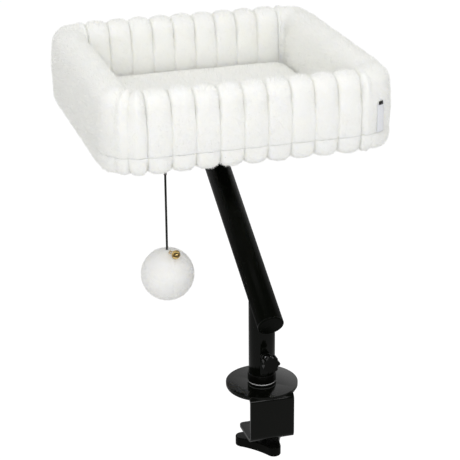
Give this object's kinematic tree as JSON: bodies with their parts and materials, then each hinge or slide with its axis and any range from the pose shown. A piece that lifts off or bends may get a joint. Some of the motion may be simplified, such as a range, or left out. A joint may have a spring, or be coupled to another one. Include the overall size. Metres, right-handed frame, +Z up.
{
  "type": "desk cat bed",
  "caption": "Square tray bed with ribbed soft walls on an inclined tube arm that swivels on a post and screws to a desk's edge, with a ball and bell hung below.",
  "frame": {"origin": "centre of the clamp's upper rubber face, which lies on the desk, on the post's axis", "axes": "+X along the desk's edge to the right as seen from in front of the desk, +Y from the desk's edge onto the desk, +Z up along the post"},
  "size_m": [0.392, 0.454, 0.5015],
  "materials": {
    "black_paint": "semi-gloss black powder coat",
    "black_plastic": "black moulded plastic, slightly glossy",
    "rubber": "black sheet rubber",
    "zinc_steel": "zinc-plated steel",
    "nylon": "black nylon",
    "plush": "short off-white plush",
    "foam": "soft open-cell foam",
    "board": "bare plywood",
    "tag": "woven satin, blank",
    "cord": "round braided cord",
    "nickel": "nickel-plated",
    "gilt_brass": "bright gilt"
  },
  "bodies": {
    "clamp_base": {"clamp_bracket": "black_paint", "desk_pad": "rubber", "swivel_spigot": "zinc_steel", "spigot_bolt": "zinc_steel", "slide_washer": "nylon", "steel_ring": "zinc_steel", "jaw_nut": "zinc_steel"},
    "pressure_pad": {"pressure_plate": "zinc_steel", "pressure_pad": "rubber"},
    "clamp_screw": {"clamp_screw": "zinc_steel", "clamp_knob": "black_plastic"},
    "swivel": {"post_tube": "black_paint", "post_collar": "black_plastic", "arm_tube": "black_paint", "lower_arm_cap": "black_plastic", "upper_arm_cap": "black_plastic", "bed_stem": "black_paint", "mounting_plate": "black_paint", "plate_screws": "zinc_steel", "board_nuts": "zinc_steel", "base_board": "board", "base_cushion": "plush", "front_wall": "plush", "back_wall": "plush", "left_wall": "plush", "right_wall": "plush", "front_left_corner": "plush", "front_right_corner": "plush", "back_left_corner": "plush", "back_right_corner": "plush", "front_foam": "foam", "back_foam": "foam", "left_foam": "foam", "right_foam": "foam", "floor_mat": "plush", "corner_tag": "tag", "star_bush": "black_paint", "toy_eye": "nickel"},
    "star_knob": {"star_knob": "black_plastic", "star_stud": "zinc_steel", "lock_tip": "nylon"},
    "toy_link": {"toy_link": "nickel"},
    "toy": {"toy_cord": "cord", "toy_ball": "plush", "ball_staple": "gilt_brass"},
    "bell": {"bell_shell": "gilt_brass", "bell_pellet": "nickel"}
  },
  "joints": [
    {"name": "clamp_slide", "type": "slide", "parent": "clamp_base", "child": "pressure_pad", "axis": [0, 0, 1], "range_m": [-0.016, 0.0115]},
    {"name": "clamp_turn", "type": "hinge", "parent": "pressure_pad", "child": "clamp_screw", "pos_m": [0, -0.008, -0.073], "axis": [0, 0, 1], "range_deg": [-3835, 2755]},
    {"name": "post_swivel", "type": "hinge", "parent": "clamp_base", "child": "swivel", "pos_m": [0, 0, 0.0095], "axis": [0, 0, 1], "continuous": true},
    {"name": "star_turn", "type": "hinge", "parent": "swivel", "child": "star_knob", "pos_m": [0, -0.031, 0.05], "axis": [0, -1, 0], "range_deg": [0, 575]},
    {"name": "link_swing", "type": "hinge", "parent": "swivel", "child": "toy_link", "pos_m": [-0.1045, 0.085, 0.2967], "axis": [1, 0, 0], "range_deg": [-45, 45]},
    {"name": "toy_swing", "type": "hinge", "parent": "toy_link", "child": "toy", "pos_m": [-0.1045, 0.085, 0.2903], "axis": [0, 1, 0], "range_deg": [-15, 60]},
    {"name": "bell_swing", "type": "hinge", "parent": "toy", "child": "bell", "pos_m": [-0.10203, 0.07724, 0.17561], "axis": [-0.9527, -0.304, 0], "range_deg": [0, 70]}
  ],
  "couplings": [
    {"joint": "clamp_slide", "follows": "clamp_turn", "m_per_rad": 0.00023873}
  ]
}
